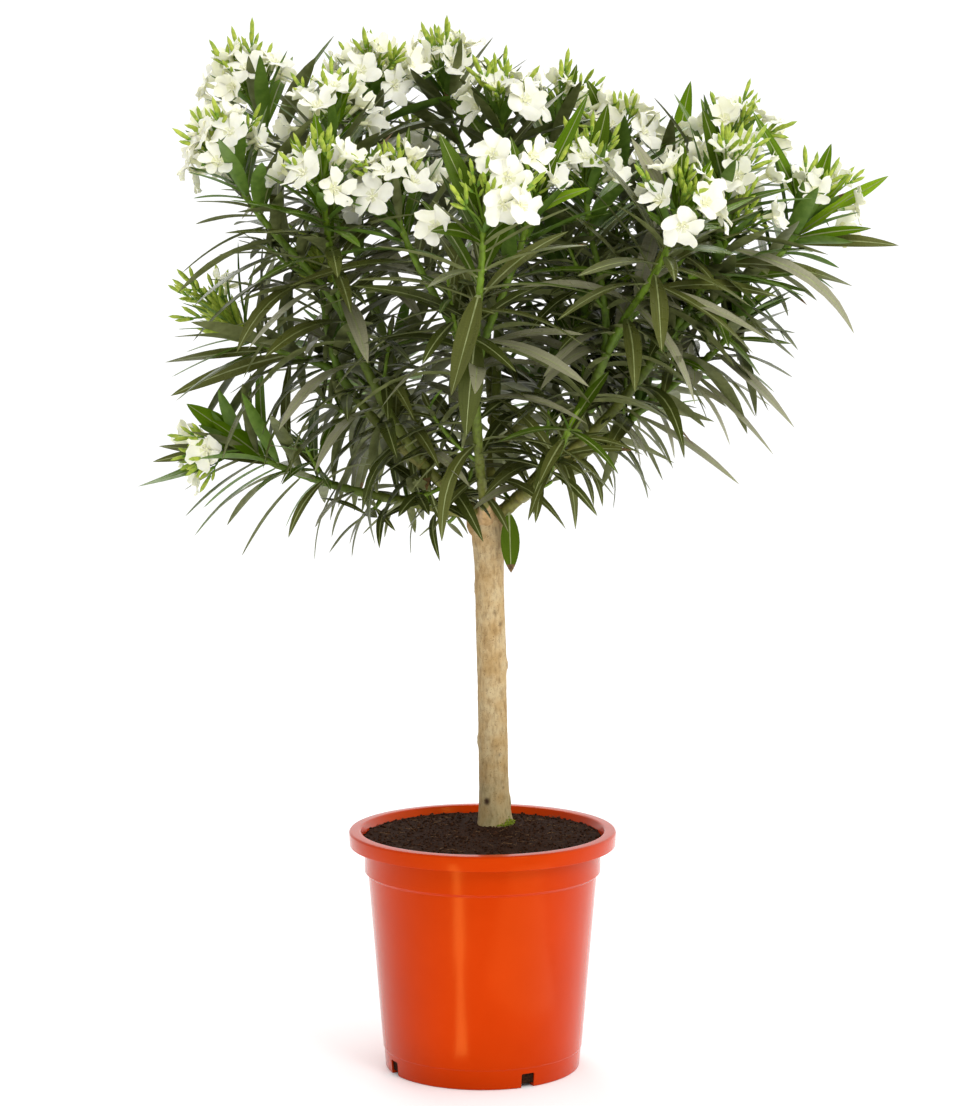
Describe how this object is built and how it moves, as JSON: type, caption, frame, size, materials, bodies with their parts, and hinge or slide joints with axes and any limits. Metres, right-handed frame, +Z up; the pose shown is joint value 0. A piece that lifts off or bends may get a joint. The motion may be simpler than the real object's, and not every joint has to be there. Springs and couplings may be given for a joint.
{
  "type": "potted oleander",
  "caption": "White-flowered oleander grown as a small standard tree, on a bare trunk in a round tapered plastic nursery pot filled with compost.",
  "frame": {"origin": "the middle of the pot's flat underside, on the ground", "axes": "+Z up the trunk, +X to the right and -Y to the front of the plant as it is usually seen"},
  "size_m": [0.7388, 0.7198, 1.0146],
  "materials": {
    "pot_plastic": "glossy injection-moulded orange plastic",
    "compost": "dark, moist, crumbly potting compost",
    "trunk_bark": "pale tan bark with fine cracks, small knots and a little moss at the foot",
    "bough_bark": "smooth olive-brown young bark with leaf scars",
    "foliage": "leathery dark green leaves with a pale midrib, fresh green at the tips",
    "blossom": "thin matt white petals with a pale yellow-green throat"
  },
  "bodies": {
    "root": {"pot": "pot_plastic", "compost": "compost", "trunk": "trunk_bark", "bough_left_low": "bough_bark", "bough_left_high": "bough_bark", "bough_centre_front": "bough_bark", "bough_right_high": "bough_bark", "bough_back_right": "bough_bark", "bough_back_left": "bough_bark", "bough_centre": "bough_bark", "bough_left_mid": "bough_bark", "bough_right_far": "bough_bark", "bough_front_low": "bough_bark", "bough_right_low": "bough_bark", "bough_mid_right": "bough_bark", "bough_back": "bough_bark", "bough_back_low_left": "bough_bark", "bough_back_low_right": "bough_bark", "foliage_left_low": "foliage", "foliage_left_high": "foliage", "foliage_centre_front": "foliage", "foliage_right_high": "foliage", "foliage_back_right": "foliage", "foliage_back_left": "foliage", "foliage_centre": "foliage", "foliage_left_mid": "foliage", "foliage_right_far": "foliage", "foliage_front_low": "foliage", "foliage_right_low": "foliage", "foliage_mid_right": "foliage", "foliage_back": "foliage", "foliage_back_low_left": "foliage", "foliage_back_low_right": "foliage"}
  },
  "joints": []
}
